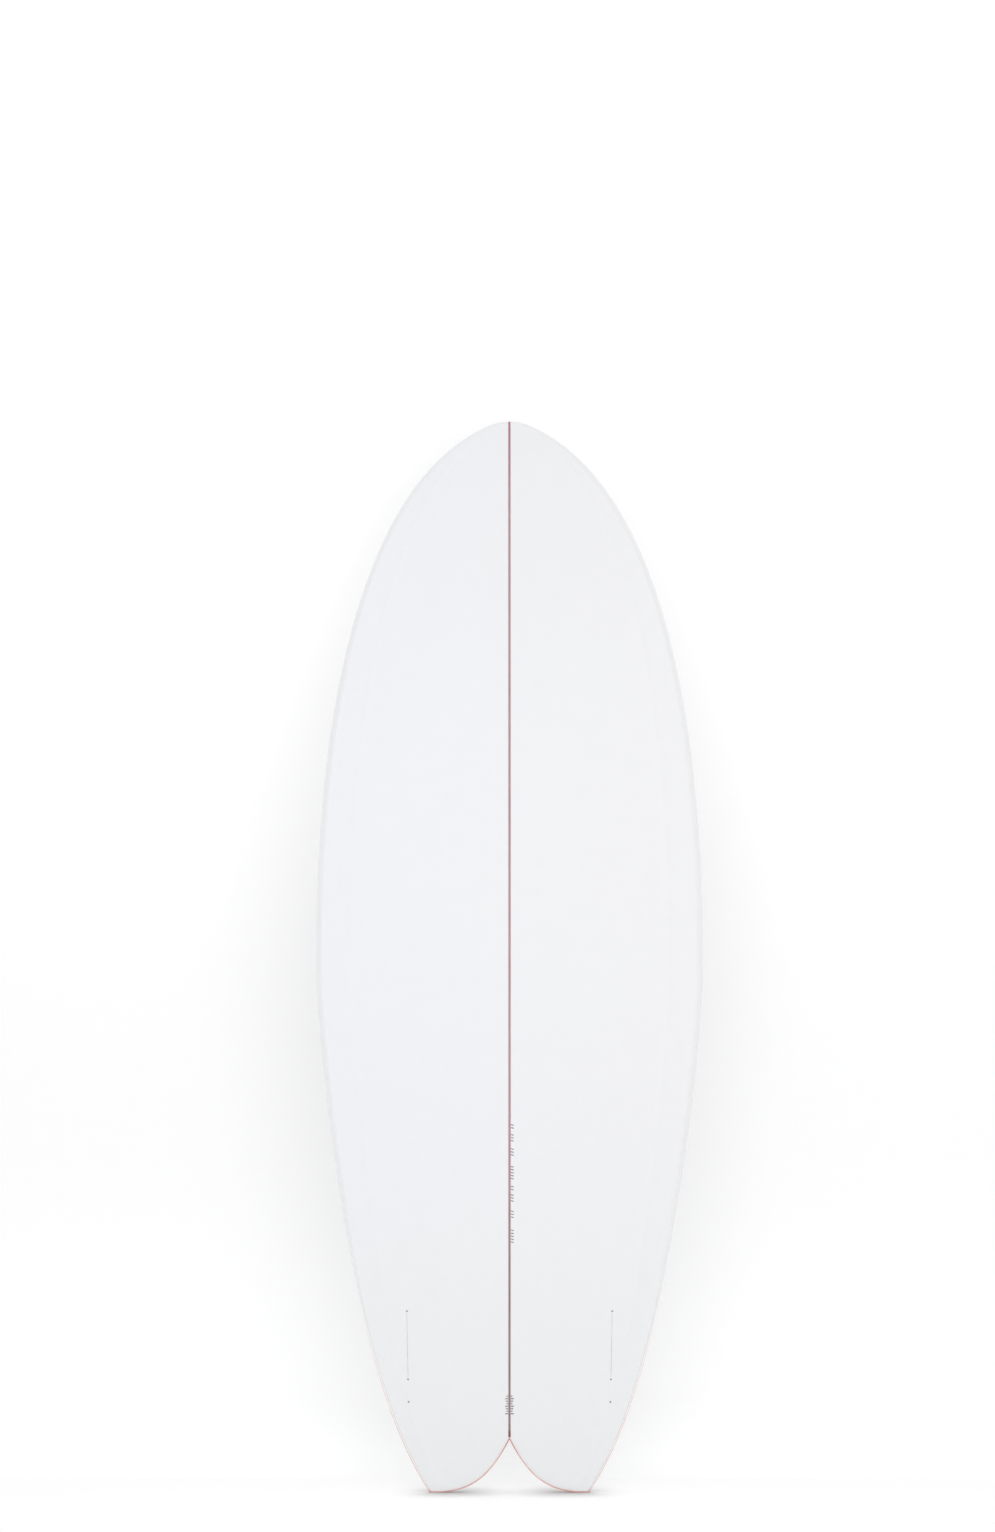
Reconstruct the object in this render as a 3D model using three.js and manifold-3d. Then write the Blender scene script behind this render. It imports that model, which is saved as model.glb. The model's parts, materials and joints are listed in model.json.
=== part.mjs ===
// A 5 ft 0 in swallow-tail "fish" surfboard, standing upright on its two tail tips.
// Millimetres. X runs across the board, Y from the bottom (-) to the deck (+), Z from the tail
// tips (0) to the nose. "Left" is the -X half and "right" the +X half, seen facing the bottom.
//
// Every layer is the same skin, drawn at its own depth below the finished surface: two foam
// halves and a stringer at the heart, cloth laminates over them, finish coats on the outside.
import * as THREE from 'three';
import { LoftGeometry } from 'three/addons/geometries/LoftGeometry.js';
import { mergeVertices } from 'three/addons/utils/BufferGeometryUtils.js';
import Module from 'manifold-3d';

// ---- Driving dimensions ----
const LENGTH = 1524;
const HALF_WIDTH = 273.5;
const THICKNESS = 60;
const NOSE_ROCKER = 95;
const TAIL_ROCKER = 38;
const FLAT_SPOT_Z = 640; // where the bottom line is lowest
const THICK_SPOT_Z = 680; // where the board is thickest
const WIDE_SPOT_Z = 725;

// Outline, with the handles that shape its curves
const NOSE_RADIUS = 72;
const NOSE_ARC_ANGLE = 0.41;
const NOSE_HANDLE = 280; // along the nose arc's tangent, down the rail
const WIDE_HANDLE_UP = 100;
const WIDE_HANDLE_DOWN = 40;
const TAIL_CORNER = new THREE.Vector2(113, 0);
const TAIL_HANDLE = new THREE.Vector2(120, 175); // from the tail corner, up the rail
const CROTCH_Z = 77.5;
const CUT_HANDLES = [new THREE.Vector2(34, 7.5), new THREE.Vector2(68, 0)];
const TAIL_CORNER_RADIUS = 4;

// Profile: how sharply the rocker and the foil bend towards each end
const NOSE_ROCKER_POWER = 2.4;
const TAIL_ROCKER_POWER = 2.2;
const NOSE_FOIL_POWER = 2.2;
const TAIL_FOIL_POWER = 1.8;
const TAIL_FADE_POWER = 8; // how fast sections straighten out above the swallow cut

// Section
const NOSE_THICKNESS = 10;
const TAIL_THICKNESS = 14;
const NOSE_BULLNOSE = 6; // length over which the nose tip rounds off
const TUCK_TAIL = 3; // width of the rounding under the rail
const TUCK_MIDDLE = 10;
const TUCK_ZONE = [120, 500]; // heights between which the rounding grows
const TUCK_LIMIT = 0.6; // its largest share of the half width
const TAIL_VEE = 4;
const VEE_END_Z = 600;
const DECK_DOME_POWERS = [2.2, 2.4];

// The rail's widest line, as a share of the thickness
const APEX_TAIL = 0.25;
const APEX_MIDDLE = 0.32;
const APEX_NOSE = 0.5;
const APEX_TAIL_ZONE = [100, 500];
const APEX_NOSE_ZONE = [900, LENGTH];

// Stringer and glue
const STRINGER_THICKNESS = 2;
const GLUE_THICKNESS = 0.5;

// Depths of the layers below the finished surface
const GAP = 0.1;
const COAT_DEPTH = 0.4;
const CLOTH_THICKNESS = 0.3;
const OUTER_CLOTH = [COAT_DEPTH + GAP, COAT_DEPTH + GAP + CLOTH_THICKNESS];
const INNER_CLOTH = OUTER_CLOTH.map((depth) => depth + CLOTH_THICKNESS + GAP);
const FOAM_DEPTH = INNER_CLOTH[1] + GAP;
const CORE_DEPTH = FOAM_DEPTH + GAP; // stringer and glue lines sit a hair deeper than the foam

// Tail edge
const BEAD_WIDTH = 1.2;
const BEAD_HEIGHT = 3;
const BEAD_CLEARANCE = 0.4;
const BEAD_FULL_Z = 180; // the bead has its full width below this height
const BEAD_END_Z = 300; // and has run out by this one
const CORNER_STEPS = 4;
const CUT_STEPS = 9;
const CROTCH_CLEARANCE = 0.3; // between the two beads and the board's centre plane
const WRAP_THICKNESS = 0.5;
const WRAP_END_DEPTH = BEAD_WIDTH + WRAP_THICKNESS;
const SKIN_END_DEPTH = WRAP_END_DEPTH + GAP; // where coats and laminates stop at the tail cut
const FOAM_END_DEPTH = SKIN_END_DEPTH + GAP;

// Leash plug
const PLUG = {
  x: 22,
  z: 160,
  radius: 13.5,
  depth: 18,
  wall: 2,
  proud: 0.5,
  clearance: 0.3,
  barRadius: 2,
  barDepth: 5,
  segments: 24,
  barSegments: 12,
  reach: 10, // how far the hole's cutter stands above the deck
};

// ---- Plan outline of the right half, as (x, z) ----
const noseArc = new THREE.EllipseCurve(
  0,
  LENGTH - NOSE_RADIUS,
  NOSE_RADIUS,
  NOSE_RADIUS,
  Math.PI / 2 - NOSE_ARC_ANGLE,
  Math.PI / 2,
);
const noseJoint = noseArc.getPoint(0);
const noseJointDirection = new THREE.Vector2(Math.cos(NOSE_ARC_ANGLE), -Math.sin(NOSE_ARC_ANGLE));
const widePoint = new THREE.Vector2(HALF_WIDTH, WIDE_SPOT_Z);
const noseRail = new THREE.CubicBezierCurve(
  widePoint,
  widePoint.clone().add(new THREE.Vector2(0, WIDE_HANDLE_UP)),
  noseJoint.clone().addScaledVector(noseJointDirection, NOSE_HANDLE),
  noseJoint,
);
const tailRail = new THREE.CubicBezierCurve(
  TAIL_CORNER,
  TAIL_CORNER.clone().add(TAIL_HANDLE),
  widePoint.clone().add(new THREE.Vector2(0, -WIDE_HANDLE_DOWN)),
  widePoint,
);
const tailCut = new THREE.CubicBezierCurve(
  new THREE.Vector2(0, CROTCH_Z),
  ...CUT_HANDLES,
  TAIL_CORNER,
);

// Stations run from the tail corner to the nose tip, each with its outward normal.
const TAIL_STEPS = 10;
const NOSE_STEPS = 11;
const ARC_STEPS = 3;
const NOSE_CROWDING = 1.4;

// crowding above 1 draws the steps together towards the curve's end.
function stationsOn(curve, steps, first, crowding = 1) {
  const found = [];
  for (let step = first; step <= steps; step++) {
    const along = 1 - (1 - step / steps) ** crowding;
    const tangent = curve.getTangent(along);
    found.push({ point: curve.getPoint(along), normal: new THREE.Vector2(tangent.y, -tangent.x) });
  }
  return found;
}

const stations = [
  ...stationsOn(tailRail, TAIL_STEPS, 0),
  ...stationsOn(noseRail, NOSE_STEPS, 1, NOSE_CROWDING),
  ...stationsOn(noseArc, ARC_STEPS, 1),
];

// The tail cut's height at x and its slope there, by halving the interval of its parameter.
function tailCutAt(x) {
  let low = 0;
  let high = 1;
  for (let round = 0; round < 40; round++) {
    const middle = (low + high) / 2;
    if (tailCut.getPoint(middle).x < x) low = middle;
    else high = middle;
  }
  const tangent = tailCut.getTangent(low);
  return { z: tailCut.getPoint(low).y, slope: tangent.y / tangent.x };
}

// ---- Profile and section of the finished board ----
function rocker(z) {
  const toNose = Math.max(z - FLAT_SPOT_Z, 0) / (LENGTH - FLAT_SPOT_Z);
  const toTail = Math.max(FLAT_SPOT_Z - z, 0) / FLAT_SPOT_Z;
  return NOSE_ROCKER * toNose ** NOSE_ROCKER_POWER + TAIL_ROCKER * toTail ** TAIL_ROCKER_POWER;
}

function thickness(z) {
  if (z > THICK_SPOT_Z) {
    const toNose = (z - THICK_SPOT_Z) / (LENGTH - THICK_SPOT_Z);
    return THICKNESS - (THICKNESS - NOSE_THICKNESS) * toNose ** NOSE_FOIL_POWER;
  }
  const toTail = (THICK_SPOT_Z - z) / THICK_SPOT_Z;
  return THICKNESS - (THICKNESS - TAIL_THICKNESS) * toTail ** TAIL_FOIL_POWER;
}

// Height of the rail's widest line above the bottom: low in the tail, halfway up at the nose.
function apexHeight(z) {
  const share = APEX_TAIL
    + (APEX_MIDDLE - APEX_TAIL) * THREE.MathUtils.smoothstep(z, ...APEX_TAIL_ZONE)
    + (APEX_NOSE - APEX_MIDDLE) * THREE.MathUtils.smoothstep(z, ...APEX_NOSE_ZONE);
  return share * thickness(z);
}

function tuckWidth(z) {
  return TUCK_TAIL + (TUCK_MIDDLE - TUCK_TAIL) * THREE.MathUtils.smoothstep(z, ...TUCK_ZONE);
}

function vee(z) {
  return TAIL_VEE * (1 - THREE.MathUtils.smoothstep(z, 0, VEE_END_Z));
}

function beadShare(z) {
  return 1 - THREE.MathUtils.smoothstep(z, BEAD_FULL_Z, BEAD_END_Z);
}

// Half a section is a run of points, numbered from the bottom's centre over the rail's apex to
// the deck's centre. Point k below the apex and its partner above it share one place in plan.
const FLAT_SHARES = [0, 0.2, 0.4, 0.62, 0.85, 1];
const TUCK_ANGLES = [Math.PI / 6, Math.PI / 3];
const APEX = FLAT_SHARES.length + TUCK_ANGLES.length;
const DECK_CENTRE = 2 * APEX;
const LAP = 4; // where a laminate that wraps over the rail ends, on the far side
const BOTTOM_LAP = LAP;
const DECK_LAP = DECK_CENTRE - LAP;
const LAP_STEP = [0.06, 0.02]; // before the lap, where the layer over it thins
const RAIL_SEAM = 0.05; // either side of the apex, where the two finish coats stop

// A point of the skin. index numbers it in its section, depth is below the finished surface,
// and endDepth is how far it stays from the tail cut.
function skinVertex(index, side, station, depth, endDepth) {
  const inset = depth + BEAD_WIDTH * beadShare(station.point.y);
  const tailInset = depth + BEAD_WIDTH;
  const rail = station.point.clone().addScaledVector(station.normal, -inset);
  const corner = stations[0].point.clone().addScaledVector(stations[0].normal, -tailInset);
  const reach = Math.max(rail.x, 0);
  const tuck = Math.min(tuckWidth(rail.y) - depth, TUCK_LIMIT * reach);
  const place = Math.min(index, DECK_CENTRE - index);
  const angle = TUCK_ANGLES[place - FLAT_SHARES.length] ?? Math.PI / 2;
  const onFlat = place < FLAT_SHARES.length;
  const x = onFlat ? (reach - tuck) * FLAT_SHARES[place] : reach - tuck * (1 - Math.sin(angle));

  const share = reach > 0 ? x / reach : 0;
  const cut = tailCutAt(share * corner.x);
  const cutZ = cut.z + endDepth * Math.hypot(1, cut.slope);
  const tailFade = (1 - station.point.y / LENGTH) ** TAIL_FADE_POWER;
  const z = rail.y + tailFade * (cutZ - corner.y);

  const base = vee(z) * share;
  const apex = base + apexHeight(z);
  let height = apex;
  if (index < APEX) {
    const bottom = base + depth;
    height = onFlat ? bottom : bottom + (apex - bottom) * (1 - Math.cos(angle));
  } else if (index > APEX) {
    const dome = (1 - share ** DECK_DOME_POWERS[0]) ** (1 / DECK_DOME_POWERS[1]);
    height = apex + (thickness(z) - depth - apex) * dome;
  }
  const fromTip = Math.min((LENGTH - depth - z) / NOSE_BULLNOSE, 1);
  const roundOff = Math.sqrt(Math.max(1 - (1 - fromTip) ** 2, 0));
  return new THREE.Vector3(side * x, rocker(z) + apex + (height - apex) * roundOff, z);
}

// The same, for an index between two numbered points.
function skinPoint(index, side, station, depth, endDepth) {
  const below = Math.floor(index);
  const start = skinVertex(below, side, station, depth, endDepth);
  if (index === below) return start;
  return start.lerp(skinVertex(below + 1, side, station, depth, endDepth), index - below);
}

// ---- Solids ----
function signedVolume(geometry) {
  const position = geometry.getAttribute('position');
  const order = geometry.index;
  const corners = [new THREE.Vector3(), new THREE.Vector3(), new THREE.Vector3()];
  let volume = 0;
  for (let first = 0; first < order.count; first += 3) {
    corners.forEach((corner, offset) => corner.fromBufferAttribute(position, order.getX(first + offset)));
    volume += corners[0].dot(corners[1].clone().cross(corners[2])) / 6;
  }
  return volume;
}

// A loft splits every quad along the same diagonal of its ring. Turning some of them makes all
// diagonals lean the same way from stringer to rail, so that neighbouring layers match.
function matchDiagonals(geometry, rings) {
  const width = (ring) => Math.max(...ring.map((point) => point.x));
  const widest = rings.reduce((best, ring) => (width(ring) > width(best) ? ring : best));
  const columns = widest.length;
  for (let row = 0; row < rings.length - 1; row++) {
    for (let column = 0; column < columns; column++) {
      const next = widest[(column + 1) % columns];
      if (Math.abs(next.x) >= Math.abs(widest[column].x)) continue;
      const first = 6 * (row * columns + column);
      const [a, b, d, , c] = geometry.index.array.slice(first, first + 5);
      geometry.index.array.set([a, b, c, a, c, d], first);
    }
  }
}

// Skins a list of rings, and turns them round if that leaves the faces pointing inwards.
function loft(rings, caps) {
  const options = { capStart: caps, capEnd: caps };
  const trial = new LoftGeometry(rings, options);
  const outward = signedVolume(trial) > 0;
  const ordered = outward ? rings : rings.map((ring) => [...ring].reverse());
  const geometry = outward ? trial : new LoftGeometry(ordered, options);
  matchDiagonals(geometry, ordered);
  return geometry;
}

// Closes a ring onto the line halfway between its two sides, which ends a loft with no cap.
function foldRing(ring) {
  return ring.map((point, i) => point.clone().lerp(ring[ring.length - 1 - i], 0.5));
}

// A thin layer across the whole board. path lists [index, outer depth, inner depth] along the
// right half, starting at the centre.
function layer(path) {
  const rings = stations.map((station) => {
    const edge = (side, depthColumn) => path.map(
      (entry) => skinPoint(entry[0], side, station, entry[depthColumn], SKIN_END_DEPTH),
    );
    const across = (depthColumn) => [
      ...edge(-1, depthColumn).slice(1).reverse(),
      ...edge(1, depthColumn),
    ];
    return [...across(1), ...across(2).reverse()];
  });
  return loft([foldRing(rings[0]), ...rings], false);
}

function indicesFrom(first, last) {
  const step = Math.sign(last - first);
  return Array.from({ length: Math.abs(last - first) + 1 }, (_, i) => first + i * step);
}

// The index at which a section of the foam reaches the face that is glued to the stringer.
function indexAtCore(station, coreX) {
  const place = (index) => skinVertex(index, 1, station, FOAM_DEPTH, FOAM_END_DEPTH).x;
  const after = indicesFrom(1, APEX).find((index) => place(index) > coreX);
  return after - 1 + (coreX - place(after - 1)) / (place(after) - place(after - 1));
}

function foamHalf(side) {
  const coreX = STRINGER_THICKNESS / 2 + GLUE_THICKNESS + 2 * GAP;
  const foamPoint = (index, station) => skinPoint(index, side, station, FOAM_DEPTH, FOAM_END_DEPTH);
  const full = stations.slice(0, -1);
  const rings = full.map((station) => {
    const first = indexAtCore(station, coreX);
    return indicesFrom(0, DECK_CENTRE).map((index) => foamPoint(
      THREE.MathUtils.clamp(index, first, DECK_CENTRE - first),
      station,
    ));
  });
  const lastRail = foamPoint(APEX, full.at(-1));
  const tip = foamPoint(APEX, stations.at(-1));
  const coreTip = lastRail.clone().lerp(tip, 1 - coreX / Math.abs(lastRail.x));
  return loft([foldRing(rings[0]), ...rings, rings[0].map(() => coreTip)], false);
}

// A flat slab on the board's centre plane, between two distances from it.
function coreSlab(nearX, farX) {
  const last = stations.length - 1;
  const rings = stations.slice(0, last).map((station) => {
    const bottom = skinPoint(0, 1, station, CORE_DEPTH, FOAM_END_DEPTH);
    const deck = skinPoint(DECK_CENTRE, 1, station, CORE_DEPTH, FOAM_END_DEPTH);
    return [
      new THREE.Vector3(nearX, bottom.y, bottom.z),
      new THREE.Vector3(farX, bottom.y, bottom.z),
      new THREE.Vector3(farX, deck.y, deck.z),
      new THREE.Vector3(nearX, deck.y, deck.z),
    ];
  });
  return loft(rings, true);
}

function cloth(from, to, [outer, inner]) {
  return layer(indicesFrom(from, to).map((index) => [index, outer, inner]));
}

// The inner deck cloth is cut to butt against the edge of the bottom laminate's lap.
function innerDeckCloth() {
  const inside = indicesFrom(DECK_CENTRE, DECK_LAP + 1).map((index) => [index, ...INNER_CLOTH]);
  return layer([...inside, [DECK_LAP + LAP_STEP[0], ...INNER_CLOTH]]);
}

// The bottom coat fills up to the level of the deck laminate's lap, then runs over it.
function bottomCoat() {
  const filled = OUTER_CLOTH[1];
  const thick = indicesFrom(0, BOTTOM_LAP - 1).map((index) => [index, 0, filled]);
  const thin = indicesFrom(BOTTOM_LAP, APEX - 1).map((index) => [index, 0, COAT_DEPTH]);
  return layer([
    ...thick,
    [BOTTOM_LAP - LAP_STEP[0], 0, filled],
    [BOTTOM_LAP - LAP_STEP[1], 0, COAT_DEPTH],
    ...thin,
    [APEX - RAIL_SEAM, 0, COAT_DEPTH],
  ]);
}

function deckCoat() {
  const thin = indicesFrom(DECK_CENTRE, APEX + 1).map((index) => [index, 0, COAT_DEPTH]);
  return layer([...thin, [APEX + RAIL_SEAM, 0, COAT_DEPTH]]);
}

// The strip of glass over the end wall of the swallow tail, from one tip to the other.
function tailWallWrap() {
  const section = (index, side) => {
    const corner = (place, endDepth) => skinPoint(place, side, stations[0], 0, endDepth);
    return [
      corner(index, BEAD_WIDTH),
      corner(DECK_CENTRE - index, BEAD_WIDTH),
      corner(DECK_CENTRE - index, WRAP_END_DEPTH),
      corner(index, WRAP_END_DEPTH),
    ];
  };
  const last = APEX - 1;
  return loft([
    ...indicesFrom(last, 1).map((index) => section(index, -1)),
    ...indicesFrom(0, last).map((index) => section(index, 1)),
  ], true);
}

// The hard resin edge: down the rail, round the tail tip and up the cut to the crotch.
function tailEdgeBead(side) {
  const ring = (point, normal, width) => {
    const inner = point.clone().addScaledVector(normal, -width);
    const share = Math.min(point.x / TAIL_CORNER.x, 1);
    const vertex = (place, height) => new THREE.Vector3(
      side * place.x,
      rocker(place.y) + vee(place.y) * share + height,
      place.y,
    );
    return [vertex(point, 0), vertex(point, BEAD_HEIGHT), vertex(inner, BEAD_HEIGHT), vertex(inner, 0)];
  };
  const fullWidth = BEAD_WIDTH - BEAD_CLEARANCE;
  const onRail = stations.slice(1)
    .filter(({ point }) => beadShare(point.y) > 0.5)
    .reverse()
    .map(({ point, normal }) => ring(point, normal, BEAD_WIDTH * beadShare(point.y) - BEAD_CLEARANCE));

  // The tail tip is filleted: the arc's centre is one radius in from both edges.
  const railNormal = stations[0].normal;
  const turn = Math.PI / 2 - Math.atan2(-railNormal.y, railNormal.x);
  const middle = railNormal.clone().add(new THREE.Vector2(0, -1)).normalize();
  const centre = TAIL_CORNER.clone()
    .addScaledVector(middle, -TAIL_CORNER_RADIUS / Math.cos(turn / 2));
  const onCorner = indicesFrom(0, CORNER_STEPS).map((step) => {
    const normal = railNormal.clone().rotateAround(new THREE.Vector2(), -turn * step / CORNER_STEPS);
    return ring(centre.clone().addScaledVector(normal, TAIL_CORNER_RADIUS), normal, fullWidth);
  });

  const onCut = indicesFrom(1, CUT_STEPS).map((step) => {
    const x = THREE.MathUtils.lerp(centre.x, CROTCH_CLEARANCE, step / CUT_STEPS);
    const cut = tailCutAt(x);
    const normal = new THREE.Vector2(cut.slope, -1).normalize();
    return ring(new THREE.Vector2(x, cut.z), normal, fullWidth);
  });
  return loft([...onRail, ...onCorner, ...onCut], true);
}

// ---- Leash plug: a cup let into the right half of the deck, with a bar across it ----
const wasm = await Module();
wasm.setup();

function toSolid(geometry) {
  const bare = new THREE.BufferGeometry();
  bare.setAttribute('position', geometry.getAttribute('position'));
  bare.setIndex(geometry.index);
  const merged = mergeVertices(bare, 1e-4);
  return new wasm.Manifold(new wasm.Mesh({
    numProp: 3,
    vertProperties: merged.getAttribute('position').array,
    triVerts: new Uint32Array(merged.index.array),
  }));
}

function cutAway(geometry, cutter) {
  const result = toSolid(geometry).subtract(toSolid(cutter)).getMesh();
  const cut = new THREE.BufferGeometry();
  cut.setAttribute('position', new THREE.BufferAttribute(result.vertProperties, 3));
  cut.setIndex(new THREE.BufferAttribute(result.triVerts, 1));
  cut.computeVertexNormals();
  return cut;
}

// The plug's place: on the deck, standing square to it. Local +Y points out of its mouth.
function plugFrame(deckGeometry) {
  const ray = new THREE.Raycaster(
    new THREE.Vector3(PLUG.x, LENGTH, PLUG.z),
    new THREE.Vector3(0, -1, 0),
  );
  const [hit] = ray.intersectObject(new THREE.Mesh(deckGeometry));
  const frame = new THREE.Object3D();
  frame.position.copy(hit.point).addScaledVector(hit.face.normal, PLUG.proud);
  frame.quaternion.setFromUnitVectors(new THREE.Vector3(0, 1, 0), hit.face.normal);
  frame.updateMatrix();
  return frame.matrix;
}

function plugCup() {
  const { radius, depth, wall } = PLUG;
  const profile = [
    [0, -depth],
    [radius, -depth],
    [radius, 0],
    [radius - wall, 0],
    [radius - wall, wall - depth],
    [0, wall - depth],
  ];
  const points = profile.map(([r, y]) => new THREE.Vector2(r, y));
  return new THREE.LatheGeometry(points, PLUG.segments);
}

function plugBar() {
  const inside = PLUG.radius - PLUG.wall;
  const length = 2 * (inside * Math.cos(Math.PI / PLUG.segments) - PLUG.clearance);
  return new THREE.CylinderGeometry(PLUG.barRadius, PLUG.barRadius, length, PLUG.barSegments)
    .rotateZ(Math.PI / 2)
    .translate(0, -PLUG.barDepth, 0);
}

function plugCutter() {
  const height = PLUG.depth + PLUG.clearance + PLUG.reach;
  const radius = PLUG.radius + PLUG.clearance;
  return new THREE.CylinderGeometry(radius, radius, height, PLUG.segments)
    .translate(0, PLUG.reach - height / 2, 0);
}

// ---- Materials ----
const finish = (color, roughness) => new THREE.MeshStandardMaterial({ color, roughness, metalness: 0 });
const clear = (color, roughness, opacity) => new THREE.MeshStandardMaterial({
  color,
  roughness,
  metalness: 0,
  transparent: true,
  opacity,
});
const foam = finish(0xf2f3f5, 0.9);
const wood = finish(0xc8a8a0, 0.7);
const tintedGlue = finish(0xb2606c, 0.5);
const glassCloth = clear(0xf6f8f8, 0.5, 0.3);
const fillerCoat = clear(0xf8fafa, 0.35, 0.2);
const tintedResin = finish(0xd9908a, 0.4);
const plastic = finish(0xf0f0ee, 0.35);
const steel = new THREE.MeshStandardMaterial({ color: 0xc8cacc, roughness: 0.25, metalness: 1 });

// ---- Assembly ----
const board = new THREE.Group();

function add(name, geometry, material) {
  const mesh = new THREE.Mesh(geometry, material);
  mesh.name = name;
  board.add(mesh);
}

const deckSkin = deckCoat();
const toPlug = plugFrame(deckSkin);
const plugHole = plugCutter().applyMatrix4(toPlug);
const gluedFrom = STRINGER_THICKNESS / 2 + GAP;
const gluedTo = gluedFrom + GLUE_THICKNESS;

add('foam_core_left', foamHalf(-1), foam);
add('foam_core_right', cutAway(foamHalf(1), plugHole), foam);
add('stringer', coreSlab(-STRINGER_THICKNESS / 2, STRINGER_THICKNESS / 2), wood);
add('glue_line_left', coreSlab(-gluedTo, -gluedFrom), tintedGlue);
add('glue_line_right', coreSlab(gluedFrom, gluedTo), tintedGlue);
add('bottom_laminate', cloth(0, DECK_LAP, INNER_CLOTH), glassCloth);
add('deck_laminate_inner', cutAway(innerDeckCloth(), plugHole), glassCloth);
add('deck_laminate_outer', cutAway(cloth(DECK_CENTRE, BOTTOM_LAP, OUTER_CLOTH), plugHole), glassCloth);
add('bottom_finish_coat', bottomCoat(), fillerCoat);
add('deck_finish_coat', cutAway(deckSkin, plugHole), fillerCoat);
add('tail_wall_wrap', tailWallWrap(), glassCloth);
add('tail_edge_bead_left', tailEdgeBead(-1), tintedResin);
add('tail_edge_bead_right', tailEdgeBead(1), tintedResin);
add('leash_plug_cup', plugCup().applyMatrix4(toPlug), plastic);
add('leash_plug_bar', plugBar().applyMatrix4(toPlug), steel);

// The origin is midway across and through the board, level with the tail tips.
const bounds = new THREE.Box3().setFromObject(board);
board.position.set(0, -(bounds.min.y + bounds.max.y) / 2, -bounds.min.z);

export default board;
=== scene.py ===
"""Looks for a swallow-tail "fish" surfboard that stands on its tail tips, bottom to the front.

Every layer of the board is the same skin, drawn at its own depth below the finished surface:
foam halves and a stringer, cloth laminates over them, finish coats on the outside. Shapes are
worked out in millimetres, with X across, Y from the bottom's lowest line (0) to the deck and Z
from the tail tips (0) to the nose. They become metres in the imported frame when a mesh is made.
"""
import json
import math

import bmesh
import bpy
import numpy as np
from mathutils import Matrix, Vector


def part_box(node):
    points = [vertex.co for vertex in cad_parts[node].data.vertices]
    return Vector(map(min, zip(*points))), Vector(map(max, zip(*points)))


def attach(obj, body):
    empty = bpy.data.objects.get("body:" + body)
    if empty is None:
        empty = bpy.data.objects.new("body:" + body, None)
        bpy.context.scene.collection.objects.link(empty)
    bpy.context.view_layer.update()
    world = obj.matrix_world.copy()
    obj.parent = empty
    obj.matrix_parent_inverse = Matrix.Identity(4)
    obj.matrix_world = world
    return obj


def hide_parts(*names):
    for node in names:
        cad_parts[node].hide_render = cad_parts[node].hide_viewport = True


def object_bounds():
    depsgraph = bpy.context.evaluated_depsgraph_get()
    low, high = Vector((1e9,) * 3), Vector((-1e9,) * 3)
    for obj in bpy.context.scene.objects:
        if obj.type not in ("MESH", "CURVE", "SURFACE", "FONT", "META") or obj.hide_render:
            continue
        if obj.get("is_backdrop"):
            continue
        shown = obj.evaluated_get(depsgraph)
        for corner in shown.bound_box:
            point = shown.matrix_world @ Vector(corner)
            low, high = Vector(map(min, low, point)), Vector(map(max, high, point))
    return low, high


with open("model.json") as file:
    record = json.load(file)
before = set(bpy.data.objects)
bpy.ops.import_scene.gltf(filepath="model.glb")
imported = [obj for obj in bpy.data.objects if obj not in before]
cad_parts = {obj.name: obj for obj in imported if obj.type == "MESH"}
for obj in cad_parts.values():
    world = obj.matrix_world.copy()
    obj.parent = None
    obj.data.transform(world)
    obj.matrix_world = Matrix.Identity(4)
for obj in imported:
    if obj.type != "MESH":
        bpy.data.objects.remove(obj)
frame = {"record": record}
cad_low, cad_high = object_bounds()

# ---- The board's driving dimensions ----
MM = 0.001
LENGTH = round((cad_high.z - cad_low.z) / MM)
HALF_WIDTH = round((cad_high.x - cad_low.x) / MM) / 2
BOTTOM_Y = cad_low.y / MM  # where the bottom's lowest line lies in the frame

THICKNESS, NOSE_THICKNESS, TAIL_THICKNESS = 60, 10, 14
NOSE_ROCKER, TAIL_ROCKER = 95, 38
FLAT_SPOT_Z, THICK_SPOT_Z, WIDE_SPOT_Z = 640, 680, 725
NOSE_ROCKER_POWER, TAIL_ROCKER_POWER = 2.4, 2.2
NOSE_FOIL_POWER, TAIL_FOIL_POWER = 2.2, 1.8
NOSE_BULLNOSE = 6
TAIL_VEE, VEE_END_Z = 4, 600
TAIL_FADE_POWER = 8  # how fast sections straighten out above the swallow cut

# Outline of the right half, as (x, z), with the handles that shape its curves
NOSE_RADIUS, NOSE_ARC_ANGLE, NOSE_HANDLE = 72, 0.41, 280
WIDE_HANDLE_UP, WIDE_HANDLE_DOWN = 100, 40
TAIL_CORNER = np.array((113.0, 0.0))
TAIL_HANDLE = np.array((120.0, 175.0))
CROTCH_Z = 77.5
CUT_HANDLES = ((34, 7.5), (68, 0))
TAIL_CORNER_RADIUS = 4

# Section
TUCK_TAIL, TUCK_MIDDLE, TUCK_ZONE = 3, 10, (120, 500)
TUCK_LIMIT = 0.6  # the tuck's largest share of the half width
HARD_EDGE = 0.8  # the tuck of the outermost surface in the tail, where resin squares the edge
DECK_DOME_POWERS = (2.2, 2.4)
APEX_TAIL, APEX_MIDDLE, APEX_NOSE = 0.25, 0.32, 0.5
APEX_TAIL_ZONE, APEX_NOSE_ZONE = (100, 500), (900, LENGTH)

# The layers' depths below the finished surface
COAT_DEPTH = 0.4
OUTER_CLOTH = (0.5, 0.8)
INNER_CLOTH = (0.9, 1.2)
MARK_DEPTHS = (1.22, 1.28)
FOAM_DEPTH, CORE_DEPTH = 1.3, 1.32

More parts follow.
